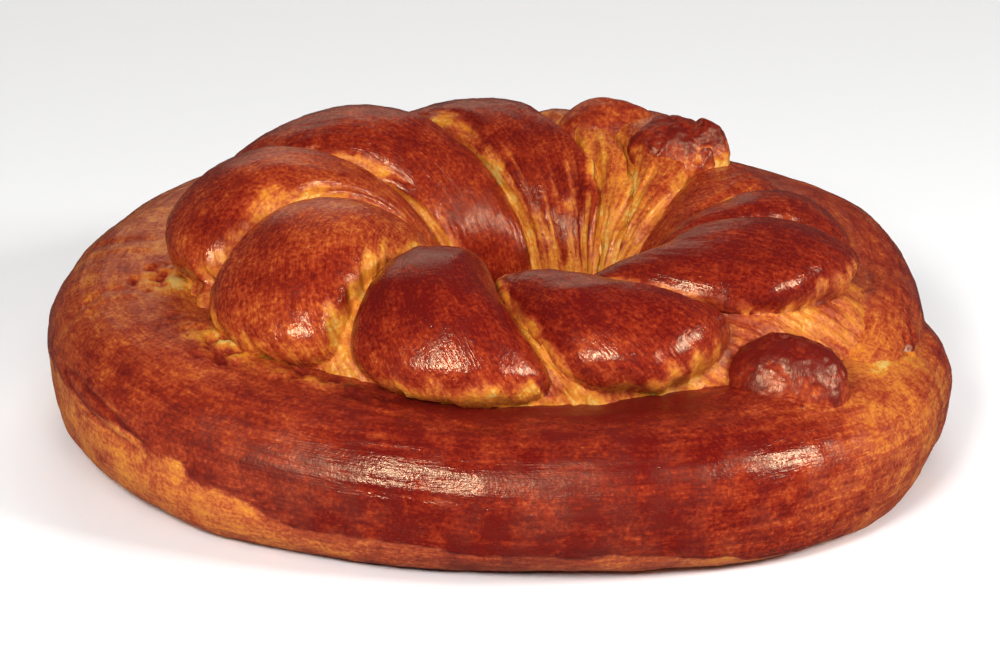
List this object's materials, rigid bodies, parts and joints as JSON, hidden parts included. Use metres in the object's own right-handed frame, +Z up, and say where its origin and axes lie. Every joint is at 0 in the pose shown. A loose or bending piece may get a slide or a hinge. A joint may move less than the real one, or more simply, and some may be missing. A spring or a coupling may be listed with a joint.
{
  "type": "braided loaf",
  "caption": "Round braided loaf: a thick outer rope with crossing ends, a twisted wreath of rolled lobes on it round a small hollow, a lumpy knot and a ball of dough.",
  "frame": {"origin": "middle of the loaf's box in plan, on the flat underside", "axes": "+Z up out of the hollow; -Y towards the front, where the small ball of dough lies at +X; +X towards the side where the rope's ends cross"},
  "size_m": [0.3008, 0.3014, 0.0947],
  "materials": {
    "crust": "satin, egg-glazed baked crust, paler where the dough stretched"
  },
  "bodies": {
    "root": {"loaf": "crust"}
  },
  "joints": []
}
